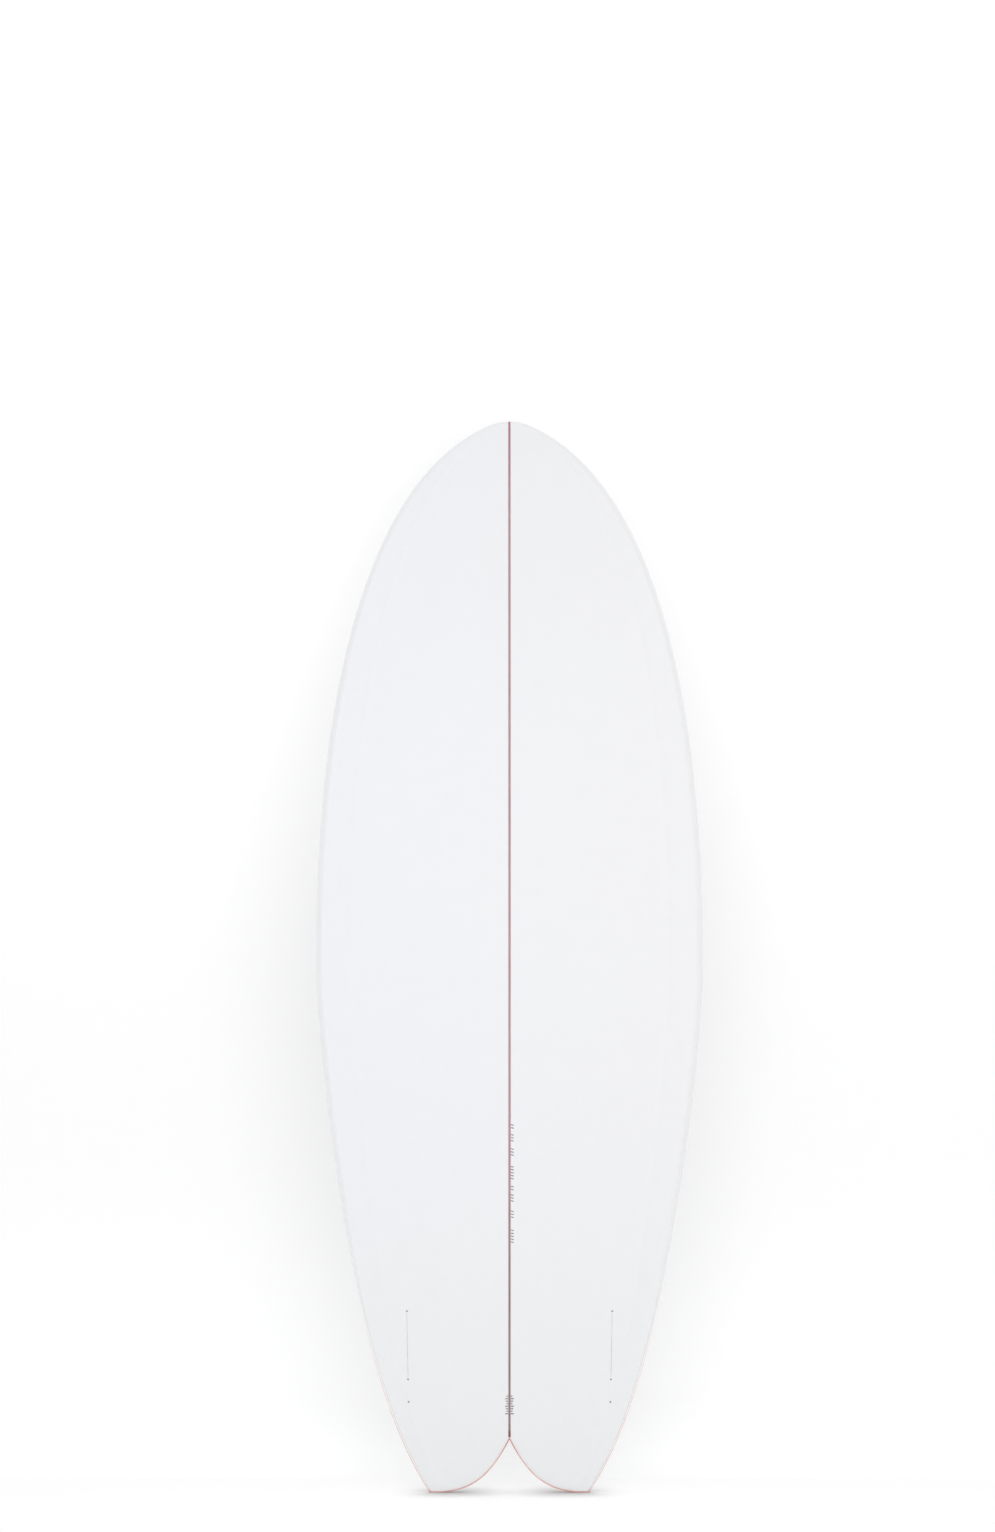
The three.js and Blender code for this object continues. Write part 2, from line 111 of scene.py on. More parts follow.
# The hard resin edge, and how far the other layers stay from the swallow cut
BEAD_WIDTH, BEAD_HEIGHT, BEAD_ROUND = 0.9, 3, 0.25
BEAD_FULL_Z, BEAD_END_Z = 180, 300
CENTRE_GAP = 0.02  # from the centre plane to each bead
WALL_GLASS = (0.92, 1.1)
SKIN_END, FOAM_END = 1.12, 1.14

# The glued core
STRINGER_HALF = 1.0
GLUE_FROM, GLUE_TO = 1.02, 1.66
CORE_FACE = 1.7

# How finely the smooth surfaces are cut
CORNER_STEPS, TAIL_STEPS, NOSE_STEPS, ARC_STEPS = 6, 56, 72, 18
NOSE_CROWDING = 1.4
CUT_STEPS = 400
FLAT_STEPS, FLAT_CROWDING, TUCK_STEPS = 28, 1.6, 12
ROUND_STEPS, BEAD_STEPS = 4, 59
LATHE_SEGMENTS, DOT_SEGMENTS = 96, 24
STROKE_STEPS, STROKE_SQUARENESS = 12, 8
TINY = 1e-9  # keeps a division by a width of 0 from failing
MERGE_DISTANCE = 1e-6
SHARP_ANGLE = math.radians(32)


# ---- Outline ----
def bezier(corners, along):
    """Points of a cubic curve and its unit tangents, at parameters from 0 to 1."""
    start, first, second, end = (np.array(corner, float) for corner in corners)
    t = along[:, None]
    s = 1 - t
    points = s**3 * start + 3 * s**2 * t * first + 3 * s * t**2 * second + t**3 * end
    slopes = s**2 * (first - start) + 2 * s * t * (second - first) + t**2 * (end - second)
    return points, slopes / np.linalg.norm(slopes, axis=1, keepdims=True)


def arc(centre, radius, first_angle, last_angle, along):
    """Points of an arc and its outward normals."""
    angle = first_angle + (last_angle - first_angle) * along
    normals = np.stack([np.cos(angle), np.sin(angle)], axis=1)
    return centre + radius * normals, normals


def steps(count, crowding=1.0):
    """Parameters from 0 to 1. Crowding above 1 draws them together towards the end."""
    return 1 - (1 - np.linspace(0, 1, count + 1)) ** crowding


def outward(tangents):
    """Normals to the right of a curve that runs from the tail to the nose."""
    return np.stack([tangents[:, 1], -tangents[:, 0]], axis=1)


# The tail corner is filleted. Station 0 is the middle of its round.
RAIL_ANGLE = -math.atan2(TAIL_HANDLE[0], TAIL_HANDLE[1])
CORNER_MIDDLE = (RAIL_ANGLE - math.pi / 2) / 2
HALF_TURN = CORNER_MIDDLE + math.pi / 2
CORNER_CENTRE = TAIL_CORNER - TAIL_CORNER_RADIUS / math.cos(HALF_TURN) * np.array(
    (math.cos(CORNER_MIDDLE), math.sin(CORNER_MIDDLE))
)
ROUND_SHARE = TAIL_CORNER_RADIUS * math.tan(HALF_TURN) / (3 * np.linalg.norm(TAIL_HANDLE))


def right_rail():
    """Points and normals of the right half, from the tail corner's middle to the nose tip."""
    nose_centre = np.array((0.0, LENGTH - NOSE_RADIUS))
    first_angle = math.pi / 2 - NOSE_ARC_ANGLE
    nose, nose_normals = arc(nose_centre, NOSE_RADIUS, first_angle, math.pi / 2, steps(ARC_STEPS))
    down_rail = np.array((math.cos(NOSE_ARC_ANGLE), -math.sin(NOSE_ARC_ANGLE)))
    wide = np.array((HALF_WIDTH, WIDE_SPOT_Z))
    front, front_tangents = bezier(
        (wide, wide + (0, WIDE_HANDLE_UP), nose[0] + NOSE_HANDLE * down_rail, nose[0]),
        steps(NOSE_STEPS, NOSE_CROWDING),
    )
    back, back_tangents = bezier(
        (TAIL_CORNER, TAIL_CORNER + TAIL_HANDLE, wide - (0, WIDE_HANDLE_DOWN), wide),
        ROUND_SHARE + (1 - ROUND_SHARE) * steps(TAIL_STEPS),
    )
    corner, corner_normals = arc(
        CORNER_CENTRE, TAIL_CORNER_RADIUS, CORNER_MIDDLE, RAIL_ANGLE, steps(CORNER_STEPS)
    )
    points = np.concatenate([corner[:-1], back, front[1:], nose[1:]])
    normals = np.concatenate(
        [corner_normals[:-1], outward(back_tangents), outward(front_tangents)[1:], nose_normals[1:]]
    )
    return points, normals


def swallow_cut():
    """Points of the swallow cut from the crotch to the tail corner's middle, and its slopes."""
    curve, tangents = bezier(((0, CROTCH_Z), *CUT_HANDLES, TAIL_CORNER), steps(CUT_STEPS))
    straight = curve[:, 0] < CORNER_CENTRE[0]
    corner, normals = arc(
        CORNER_CENTRE, TAIL_CORNER_RADIUS, -math.pi / 2, CORNER_MIDDLE, steps(CORNER_STEPS)
    )
    slopes = tangents[straight, 1] / tangents[straight, 0]
    corner_slopes = -normals[:, 0] / normals[:, 1]
    return np.concatenate([curve[straight], corner]), np.concatenate([slopes, corner_slopes])


RAIL, RAIL_NORMAL = right_rail()
CUT, CUT_SLOPE = swallow_cut()


# ---- Profile and section ----
def smoothstep(value, low, high):
    t = np.clip((value - low) / (high - low), 0, 1)
    return t * t * (3 - 2 * t)


def rocker(z):
    to_nose = np.maximum(z - FLAT_SPOT_Z, 0) / (LENGTH - FLAT_SPOT_Z)
    to_tail = np.maximum(FLAT_SPOT_Z - z, 0) / FLAT_SPOT_Z
    return NOSE_ROCKER * to_nose**NOSE_ROCKER_POWER + TAIL_ROCKER * to_tail**TAIL_ROCKER_POWER


def thickness(z):
    to_nose = np.maximum(z - THICK_SPOT_Z, 0) / (LENGTH - THICK_SPOT_Z)
    to_tail = np.maximum(THICK_SPOT_Z - z, 0) / THICK_SPOT_Z
    nose_loss = (THICKNESS - NOSE_THICKNESS) * to_nose**NOSE_FOIL_POWER
    tail_loss = (THICKNESS - TAIL_THICKNESS) * to_tail**TAIL_FOIL_POWER
    return THICKNESS - nose_loss - tail_loss


def apex_height(z):
    """Height of the rail's widest line above the bottom: low in the tail, halfway at the nose."""
    share = (
        APEX_TAIL
        + (APEX_MIDDLE - APEX_TAIL) * smoothstep(z, *APEX_TAIL_ZONE)
        + (APEX_NOSE - APEX_MIDDLE) * smoothstep(z, *APEX_NOSE_ZONE)
    )
    return share * thickness(z)


def tuck_width(z, depth):
    """Width of the rounding under the rail."""
    tail = np.where(depth > 0, TUCK_TAIL, HARD_EDGE)
    return tail + (TUCK_MIDDLE - tail) * smoothstep(z, *TUCK_ZONE) - depth


def vee(z):
    return TAIL_VEE * (1 - smoothstep(z, 0, VEE_END_Z))


def bead_share(z):
    return 1 - smoothstep(z, BEAD_FULL_Z, BEAD_END_Z)


# Half a section is walked by one number, its way: 0 at the bottom's centre, 1 where the flat ends
# and the tuck begins, 2 at the rail's apex, 3 above the tuck again and 4 at the deck's centre.
APEX = 2.0
DECK_CENTRE = 4.0
BOTTOM_LAP = 0.85  # where a laminate that wraps over the rail ends, on the far side
DECK_LAP = DECK_CENTRE - BOTTOM_LAP
LAP_EDGE = (BOTTOM_LAP - 0.014, BOTTOM_LAP - 0.005)  # where the bottom coat thins over the lap
SEAM = 0.001  # either side of the apex, where the two finish coats stop
WALL_GLASS_STOP = APEX - 0.1
INNER_LAP_GAP = 0.005  # from the bottom laminate's edge to the deck patch, which lie equally deep


def section_ways():
    flat = steps(FLAT_STEPS, FLAT_CROWDING)
    below = np.concatenate([flat, 1 + steps(TUCK_STEPS)[1:]])
    return np.concatenate([below, DECK_CENTRE - below[-2::-1]])


SECTION = section_ways()


def ways(*stops):
    """The section's own ways between the first and last stop, with every stop among them."""
    low, high = min(stops), max(stops)
    found = np.union1d(SECTION[(SECTION > low) & (SECTION < high)], stops)
    return found if stops[0] < stops[-1] else found[::-1]


def plan(depth):
    """The rail's distance from the centre, its height and its tuck, at one depth."""
    inset = depth + BEAD_WIDTH * bead_share(RAIL[:, 1:])
    reach = np.maximum(RAIL[:, :1] - RAIL_NORMAL[:, :1] * inset, 0)
    height = RAIL[:, 1:] - RAIL_NORMAL[:, 1:] * inset
    tuck = np.minimum(tuck_width(height, depth), TUCK_LIMIT * reach)
    return reach, height, tuck


def skin(way, depth, end_depth):
    """Points of the right half at a depth below the surface, one row for each station.

    way and depth give one number for each point of a section. end_depth is how far the skin
    stays from the swallow cut.
    """
    depth = np.asarray(depth, float)
    reach, rail_z, tuck = plan(depth)
    place = np.minimum(way, DECK_CENTRE - way)
    angle = np.maximum(place - 1, 0) * math.pi / 2
    x = (reach - tuck) * np.minimum(place, 1) + tuck * np.sin(angle)
    share = x / np.maximum(reach, TINY)

    corner = RAIL[0] - RAIL_NORMAL[0] * (depth + BEAD_WIDTH)[..., None]
    cut_x = share * corner[..., 0]
    slope = np.interp(cut_x, CUT[:, 0], CUT_SLOPE)
    cut_z = np.interp(cut_x, CUT[:, 0], CUT[:, 1]) + end_depth * np.hypot(1, slope)
    fade = ((LENGTH - RAIL[:, 1:]) / (LENGTH - RAIL[0, 1])) ** TAIL_FADE_POWER
    z = rail_z + fade * (cut_z - corner[..., 1])

    base = vee(z) * share
    apex = base + apex_height(z)
    bottom = base + depth
    tucked = bottom + (apex - bottom) * (1 - np.cos(angle))
    dome = (1 - np.minimum(share, 1) ** DECK_DOME_POWERS[0]) ** (1 / DECK_DOME_POWERS[1])
    domed = apex + (thickness(z) - depth - apex) * dome
    height = np.where(way <= APEX, tucked, domed)
    from_tip = np.clip((LENGTH - depth - z) / NOSE_BULLNOSE, 0, 1)
    round_off = np.sqrt(1 - (1 - from_tip) ** 2)
    return np.stack([x, rocker(z) + apex + (height - apex) * round_off, z], axis=-1)


def mirrored(points):
    return points * (-1, 1, 1)


def on_side(points, side):
    return points if side > 0 else mirrored(points)


# ---- Closed shapes, as rings of points ----
def folded(ring):
    """A ring closed onto the line halfway between its two sides, which ends a loft."""
    return (ring + ring[::-1]) / 2


def tail_capped(rings):
    """A loft closed at its first ring. It needs no cap at the nose, where its rings shrink away."""
    return np.concatenate([folded(rings[0])[None], rings])


def capped(rings):
    return np.concatenate([tail_capped(rings), folded(rings[-1])[None]])


def layer(way, outer, inner):
    """A thin closed shell across the whole board, between two depths."""
    surfaces = []
    for depth in (outer, inner):
        right = skin(way, depth * np.ones_like(way), SKIN_END)
        surfaces.append(np.concatenate([mirrored(right[:, :0:-1]), right], axis=1))
    return tail_capped(np.concatenate([surfaces[0], surfaces[1][:, ::-1]], axis=1))


def foam_half(side):
    """One half of the blank, from the face that is glued to the stringer out to the rail."""
    reach, _, tuck = plan(np.array([FOAM_DEPTH]))
    wide = (reach > CORE_FACE)[:, 0]
    flat_way = CORE_FACE / np.maximum(reach - tuck, TINY)
    into_tuck = np.clip((CORE_FACE - (reach - tuck)) / np.maximum(tuck, TINY), 0, 1)
    first = np.where(flat_way < 1, flat_way, 1 + np.arcsin(into_tuck) * 2 / math.pi)
    way = np.clip(SECTION, first, DECK_CENTRE - first)
    rings = skin(way, FOAM_DEPTH * np.ones_like(SECTION), FOAM_END)[wide]
    return on_side(capped(rings), side)


def core_slab(near, far):
    """A flat slab on the board's centre plane, between two distances from it."""
    line = skin(np.array([0, DECK_CENTRE]), np.full(2, CORE_DEPTH), FOAM_END)
    corners = [(near, 0), (far, 0), (far, 1), (near, 1)]
    return tail_capped(np.stack([line[:, place] + (x, 0, 0) for x, place in corners], axis=1))


def wall_glass():
    """The strip of glass over the end wall of the swallow tail, from one tip to the other."""
    places = ways(0, WALL_GLASS_STOP)
    corners = []
    for end_depth in WALL_GLASS:
        for way in (places, DECK_CENTRE - places):
            corners.append(skin(way, np.zeros_like(way), end_depth)[0])
    right = np.stack([corners[0], corners[1], corners[3], corners[2]], axis=1)
    return capped(np.concatenate([mirrored(right[:0:-1]), right]))


def rounded(corners, radius):
    """An outline whose inner corners are replaced by rounds."""
    corners = [np.array(corner, float) for corner in corners]
    points = [corners[0]]
    for before, corner, after in zip(corners, corners[1:], corners[2:]):
        legs = [before - corner, after - corner]
        cut_back = [leg * min(radius / np.linalg.norm(leg), 0.5) for leg in legs]
        for t in steps(ROUND_STEPS):
            points.append(corner + (1 - t) ** 2 * cut_back[0] + t**2 * cut_back[1])
    return np.array([*points, corners[-1]])


def tail_bead(side):
    """The hard resin edge: down the rail, round the tail tip and up the cut to the crotch, where
    its line runs on past the centre, so that the two beads meet over their whole width."""
    on_rail = np.flatnonzero(RAIL[:, 1] < BEAD_END_Z)[::-1]
    down_cut = np.linspace(CUT[-1, 0], CENTRE_GAP, BEAD_STEPS + 1)[1:]
    cut_x = np.concatenate([down_cut, -BEAD_WIDTH * steps(ROUND_STEPS)[1:]])
    cut_normal = np.stack([np.interp(cut_x, CUT[:, 0], CUT_SLOPE), -np.ones_like(cut_x)], axis=1)
    cut_normal /= np.linalg.norm(cut_normal, axis=1, keepdims=True)
    cut_z = np.interp(cut_x, CUT[:, 0], CUT[:, 1]) + CUT_SLOPE[0] * np.minimum(cut_x, 0)
    cut_points = np.stack([cut_x, cut_z], axis=1)
    line = np.concatenate([RAIL[on_rail], cut_points])
    normals = np.concatenate([RAIL_NORMAL[on_rail], cut_normal])
    width = BEAD_WIDTH * bead_share(line[:, 1])
    share = np.clip(line[:, 0] / RAIL[0, 0], 0, 1)
    section = rounded([(1, 0), (0, 0), (0, BEAD_HEIGHT), (1, BEAD_HEIGHT)], BEAD_ROUND)
    inward = width[:, None] * section[:, 0]
    place = line[:, None] - normals[:, None] * inward[..., None]
    height = rocker(place[..., 1]) + (vee(line[:, 1]) * share)[:, None] + section[:, 1]
    rings = np.stack([np.maximum(place[..., 0], CENTRE_GAP), height, place[..., 1]], axis=-1)
    return on_side(capped(rings), side)


# ---- Pencil marks on the foam ----
def on_bottom(place, depth):
    """Points at a depth below the bottom's flat, for places given as (x, z)."""
    x, z = place[..., 0], place[..., 1]
    reach = np.interp(z, RAIL[:, 1], RAIL[:, 0])
    return np.stack([x, rocker(z) + vee(z) * np.abs(x) / reach + depth, z], axis=-1)


def stroke(start, end, width):
    """A pencil stroke with round ends, as a very thin closed flake."""
    start, end = np.array(start, float), np.array(end, float)
    along = np.linspace(0, 1, STROKE_STEPS + 1)[:, None]
    centre = start + along * (end - start)
    across = np.array((start[1] - end[1], end[0] - start[0])) / np.linalg.norm(end - start)
    half = width / 2 * np.sqrt(1 - (2 * along - 1) ** STROKE_SQUARENESS)
    outer, inner = MARK_DEPTHS
    corners = [(-1, outer), (1, outer), (1, inner), (-1, inner)]
    edges = [on_bottom(centre + sign * half * across, depth) for sign, depth in corners]
    return np.stack(edges, axis=1)


def dot(x, z, radius):
    angle = np.linspace(0, 2 * math.pi, DOT_SEGMENTS, endpoint=False)
    circle = np.stack([np.cos(angle), np.sin(angle)], axis=1)
    centre = np.array((x, z), float)
    outer, inner = MARK_DEPTHS
    rows = [(0, outer), (radius, outer), (radius, inner), (0, inner)]
    return np.stack([on_bottom(centre + size * circle, depth) for size, depth in rows])


# ---- The leash plug ----
PLUG_RADIUS, PLUG_DEPTH, PLUG_WALL, PLUG_FLOOR = 13.5, 18, 2, 2.4
PLUG_LIP = 1  # the height of the rim, whose two edges are rounded
FOOT_ROUND, LIP_ROUND, WELL_ROUND = 1.5, 0.5, 4
BAR_RADIUS, BAR_DEPTH, BAR_ROUND = 2, 5, 0.3
PLUG_FIT = 0.05  # between the plug and its hole
HOLE_REACH = 10  # how far the hole's cutter stands out of the deck


def plug_matrix():
    """The plug's place, with local Z out of its mouth and local X along its bar, in metres."""
    rim = next(m for m in frame["record"]["mounts"] if m["name"] == "leash_plug_rim")
    out = Vector(rim["axis"]).normalized()
    low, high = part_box("leash_plug_cup")
    mouth = (low + high) / 2 + out * PLUG_DEPTH * MM / 2
    along = (Vector((1, 0, 0)) - out * out.x).normalized()
    axes = Matrix((along, out.cross(along), out)).transposed().to_4x4()
    return Matrix.Translation(mouth) @ axes @ Matrix.Scale(MM, 4)


def lathe(profile, axis="Z"):
    """Rings about an axis, from (radius, height) pairs that start and end on it."""
    angle = np.linspace(0, 2 * math.pi, LATHE_SEGMENTS, endpoint=False)
    radius, height = np.array(profile, float).T[..., None]
    turned = [radius * np.cos(angle), radius * np.sin(angle), height * np.ones_like(angle)]
    order = (0, 1, 2) if axis == "Z" else (2, 0, 1)
    return np.stack([turned[i] for i in order], axis=-1)


def plug_cup():
    inside, floor = PLUG_RADIUS - PLUG_WALL, PLUG_FLOOR - PLUG_DEPTH
    foot = [(0, -PLUG_DEPTH), (PLUG_RADIUS, -PLUG_DEPTH), (PLUG_RADIUS, -PLUG_LIP)]
    lip = [(PLUG_RADIUS, -PLUG_LIP), (PLUG_RADIUS, 0), (inside, 0), (inside, -PLUG_LIP)]
    well = [(inside, -PLUG_LIP), (inside, floor), (0, floor)]
    outline = [*rounded(foot, FOOT_ROUND), *rounded(lip, LIP_ROUND)[1:], *rounded(well, WELL_ROUND)[1:]]
    return lathe(outline)


def plug_bar():
    half = PLUG_RADIUS - PLUG_WALL
    profile = [(0, -half), (BAR_RADIUS, -half), (BAR_RADIUS, half), (0, half)]
    return lathe(rounded(profile, BAR_ROUND), axis="X") - (0, 0, BAR_DEPTH)


def plug_hole():
    radius, floor = PLUG_RADIUS + PLUG_FIT, -PLUG_DEPTH - PLUG_FIT
    return lathe([(0, floor), (radius, floor), (radius, HOLE_REACH), (0, HOLE_REACH)])


# ---- Making pieces ----
def build_mesh(name, lofts, to_frame):
    """One mesh from lists of rings, closed round each ring, with its repeated points merged."""
    points, quads = [], []
    for rings in lofts:
        rows, columns, _ = rings.shape
        first = np.arange(rows - 1)[:, None] * columns + np.arange(columns)
        after = np.roll(first, -1, axis=1)
        loops = np.stack([first, after, after + columns, first + columns], axis=-1)
        quads += (loops.reshape(-1, 4) + len(points)).tolist()
        points += rings.reshape(-1, 3).tolist()
    mesh = bpy.data.meshes.new(name)
    mesh.from_pydata(points, [], quads)
    mesh.transform(to_frame)
    shape = bmesh.new()
    shape.from_mesh(mesh)
    bmesh.ops.remove_doubles(shape, verts=shape.verts, dist=MERGE_DISTANCE)
    bmesh.ops.recalc_face_normals(shape, faces=shape.faces)
    shape.to_mesh(mesh)
    shape.free()
    return mesh


def link_mesh(name, mesh):
    made = bpy.data.objects.new(name, mesh)
    bpy.context.scene.collection.objects.link(made)
    return made


def shade(mesh):
    mesh.shade_smooth()
    mesh.set_sharp_from_angle(angle=SHARP_ANGLE)


def piece(name, lofts, material, node=None, to_frame=None, hole=None):
    """A piece of the board that rides on it and, with node, stands for that CAD node."""
    design_to_frame = Matrix.Scale(MM, 4) @ Matrix.Translation((0, BOTTOM_Y, 0))
    made = link_mesh(name, build_mesh(name, lofts, to_frame or design_to_frame))
    if hole:
        cut_away(made, hole)
    shade(made.data)
    made.data.materials.clear()
    made.data.materials.append(material)
    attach(made, "root")
    if node:
        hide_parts(node)
    return made


def cut_away(made, cutter):
    """Cuts one mesh with another and keeps the result as the piece's own mesh."""
    cut = made.modifiers.new("hole", "BOOLEAN")
    cut.operation = "DIFFERENCE"
    cut.solver = "MANIFOLD"
    cut.object = cutter
    whole = made.data
    made.data = bpy.data.meshes.new_from_object(
        made.evaluated_get(bpy.context.evaluated_depsgraph_get())
    )
    made.modifiers.clear()
    bpy.data.meshes.remove(whole)


# ---- Materials ----
def srgb(red, green, blue):
    """A colour given as 0 to 255 on screen, as the linear values that shaders take."""
    shares = [channel / 255 for channel in (red, green, blue)]
    linear = [c / 12.92 if c <= 0.04045 else ((c + 0.055) / 1.055) ** 2.4 for c in shares]
    return (*linear, 1.0)


class Recipe:
    """A material's node tree, built with short calls. Each call returns a socket."""

    def __init__(self, name):
        self.material = bpy.data.materials.new(name)
        self.material.use_nodes = True
        self.tree = self.material.node_tree
        self.tree.nodes.clear()
        self.place = self.add("ShaderNodeTexCoord").outputs["Object"]
        axes = self.add("ShaderNodeSeparateXYZ", {0: self.place}).outputs
        self.x, self.y, self.z = axes

    def add(self, kind, inputs=None, **settings):
        """A node with its settings and its inputs, each a value or the socket that feeds it."""
        node = self.tree.nodes.new(kind)
        for name, value in settings.items():
            setattr(node, name, value)
        for key, value in (inputs or {}).items():
            if isinstance(value, bpy.types.NodeSocket):
                self.tree.links.new(value, node.inputs[key])
            else:
                node.inputs[key].default_value = value
        return node

    def maths(self, operation, *values):
        return self.add("ShaderNodeMath", dict(enumerate(values)), operation=operation).outputs[0]

    def stretched(self, x, y, z):
        """The place on the piece, with each axis multiplied."""
        inputs = {0: self.place, 1: (x, y, z)}
        return self.add("ShaderNodeVectorMath", inputs, operation="MULTIPLY").outputs[0]

    def noise(self, grain, detail=2.0):
        """Soft patches from 0 to 1. Their grain is one number, or three along X, Y and Z."""
        along = grain if isinstance(grain, tuple) else (grain, grain, grain)
        inputs = {"Vector": self.stretched(*along), "Scale": 1.0, "Detail": detail}
        return self.add("ShaderNodeTexNoise", inputs).outputs["Fac"]

    def between(self, value, low, high, at_low=0.0, at_high=1.0):
        """value carried smoothly from one range to another and held at both ends."""
        inputs = {0: value, 1: low, 2: high, 3: at_low, 4: at_high}
        return self.add("ShaderNodeMapRange", inputs, interpolation_type="SMOOTHSTEP").outputs[0]

    def mix(self, factor, first, second):
        inputs = {0: factor, 6: first, 7: second}
        return self.add("ShaderNodeMix", inputs, data_type="RGBA").outputs[2]

    def bump(self, height, depth, strength=1.0):
        inputs = {"Height": height, "Distance": depth, "Strength": strength}
        return self.add("ShaderNodeBump", inputs).outputs["Normal"]

    def solid(self, colour, roughness, normal, **more):
        inputs = {"Base Color": colour, "Roughness": roughness, "Normal": normal}
        return self.add("ShaderNodeBsdfPrincipled", {**inputs, **more}).outputs[0]

    def over(self, factor, under, upper):
        """The upper shader laid over the under one by a factor."""
        return self.add("ShaderNodeMixShader", {0: factor, 1: under, 2: upper}).outputs[0]

    def clear(self):
        return self.add("ShaderNodeBsdfTransparent").outputs[0]

    def seen(self):
        """1 for what the camera sees, and 0 for all other rays."""
        return self.add("ShaderNodeLightPath").outputs["Is Camera Ray"]

    def seen_front(self, value):
        """value for what the camera sees of a front face, and 0 on backs and for other rays."""
        back = self.add("ShaderNodeNewGeometry").outputs["Backfacing"]
        front = self.maths("MULTIPLY", self.seen(), self.maths("SUBTRACT", 1.0, back))
        return self.maths("MULTIPLY", value, front)

    def done(self, shader):
        self.add("ShaderNodeOutputMaterial", {"Surface": shader})
        return self.material


# A grain is about how many patches of a texture lie along a metre. A cover is the most that a
# texture hides of what lies under it. A relief is the height of its bumps in metres.
NOISE_RANGE = (0.3, 0.7)  # where nearly all of a noise's values lie
MATT_GLOSS = {"Specular IOR Level": 0.2}

# Where a colour changes along the board, as heights in metres from its first to its last trace
TAIL_SHADE_ZONE = (0.62, 0.0)
CORE_NOSE_ZONE, CORE_TAIL_ZONE, CORE_END_ZONE = (1.38, 1.5), (0.48, 0.3), (0.094, 0.084)

FOAM_COOL = srgb(238, 239, 242)
FOAM_WARM = srgb(239, 239, 241)
# Painted shade: this foam colour darkens the tail, standing in for the light falling off there.
PAINTED_TAIL_SHADE = srgb(237, 239, 240)
# Painted light: the foam is paler where its surface turns over the rail, to lift the shade the rails
# get.
PAINTED_RAIL_LIGHT = srgb(250, 250, 252)
RAIL_LIGHT_TURN = (0.96, 0.25)  # how far the foam's surface faces front or back while painted light makes it paler
FOAM_SMUDGE = srgb(238, 234, 228)
FOAM_SHADE = srgb(190, 192, 198)
SMUDGE_GRAIN, SMUDGE_COVER = (4.5, 4.5, 2.7), 0.06
CLOUD_GRAIN, CLOUD_COVER = 160.0, 0.015
SANDING_GRAIN, SANDING_COVER, SANDING_HEIGHT = (420, 420, 16), 0.012, 0.4
PORE_GRAIN, PORE_COVER = 1500.0, 0.12
FOAM_RELIEF, FOAM_ROUGHNESS = 0.00004, 0.85


def foam_material():
    """Sanded foam: cooler on the left, warmer on the right, with painted shade darkening it towards
    the tail and painted light making it palest where it turns over the rail, with smudges, pores
    and sanding marks."""
    recipe = Recipe("sanded_foam")
    half = HALF_WIDTH * MM
    base = recipe.mix(recipe.between(recipe.x, -half, half), FOAM_COOL, FOAM_WARM)
    # painted shade: darker towards the tail
    base = recipe.mix(recipe.between(recipe.z, *TAIL_SHADE_ZONE), base, PAINTED_TAIL_SHADE)
    # painted light: paler where the surface turns over the rail
    facing = recipe.add("ShaderNodeTexCoord").outputs["Normal"]
    along_y = recipe.add("ShaderNodeSeparateXYZ", {0: facing}).outputs[1]
    flatness = recipe.maths("ABSOLUTE", along_y)
    base = recipe.mix(recipe.between(flatness, *RAIL_LIGHT_TURN), base, PAINTED_RAIL_LIGHT)
    smudge = recipe.between(recipe.noise(SMUDGE_GRAIN, detail=3), 0.55, 0.8, 0, SMUDGE_COVER)
    base = recipe.mix(smudge, base, FOAM_SMUDGE)
    cloud = recipe.between(recipe.noise(CLOUD_GRAIN, detail=4), *NOISE_RANGE, 0, CLOUD_COVER)
    base = recipe.mix(cloud, base, FOAM_SHADE)
    sanding = recipe.noise(SANDING_GRAIN, detail=3)
    pores = recipe.between(recipe.noise(PORE_GRAIN, detail=1), 0.6, 0.7)
    lines = recipe.maths("MULTIPLY", sanding, SANDING_COVER)
    marks = recipe.maths("MULTIPLY_ADD", pores, PORE_COVER, lines)
    base = recipe.mix(marks, base, FOAM_SHADE)
    height = recipe.maths("SUBTRACT", recipe.maths("MULTIPLY", sanding, SANDING_HEIGHT), pores)
    normal = recipe.bump(height, FOAM_RELIEF, strength=0.6)
    return recipe.done(recipe.solid(base, FOAM_ROUGHNESS, normal, **MATT_GLOSS))


WOOD_NOSE = srgb(180, 120, 134)
WOOD_MIDDLE = srgb(186, 143, 150)
WOOD_TAIL = srgb(146, 110, 110)
WOOD_END = srgb(122, 44, 44)
WOOD_STREAK = srgb(150, 100, 106)
STREAK_GRAIN, STREAK_COVER = (2600, 700, 9), 0.5
FLECK_GRAIN, FLECK_COVER = (4000, 2500, 160), 0.4
WOOD_RELIEF, WOOD_ROUGHNESS = 0.00005, (0.55, 0.75)


def wood_material():
    """Edge grain of the stringer: long dark streaks, browner in the tail and red at its end."""
    recipe = Recipe("stringer_wood")
    streak = recipe.noise(STREAK_GRAIN, detail=5)
    fleck = recipe.noise(FLECK_GRAIN)
    base = recipe.mix(recipe.between(recipe.z, *CORE_NOSE_ZONE), WOOD_MIDDLE, WOOD_NOSE)
    base = recipe.mix(recipe.between(recipe.z, *CORE_TAIL_ZONE), base, WOOD_TAIL)
    base = recipe.mix(recipe.between(recipe.z, *CORE_END_ZONE), base, WOOD_END)
    base = recipe.mix(recipe.between(streak, 0.42, 0.62, 0, STREAK_COVER), base, WOOD_STREAK)
    base = recipe.mix(recipe.between(fleck, 0.6, 0.75, 0, FLECK_COVER), base, WOOD_STREAK)
    roughness = recipe.between(streak, *NOISE_RANGE, *WOOD_ROUGHNESS)
    normal = recipe.bump(streak, WOOD_RELIEF, strength=0.5)
    return recipe.done(recipe.solid(base, roughness, normal))


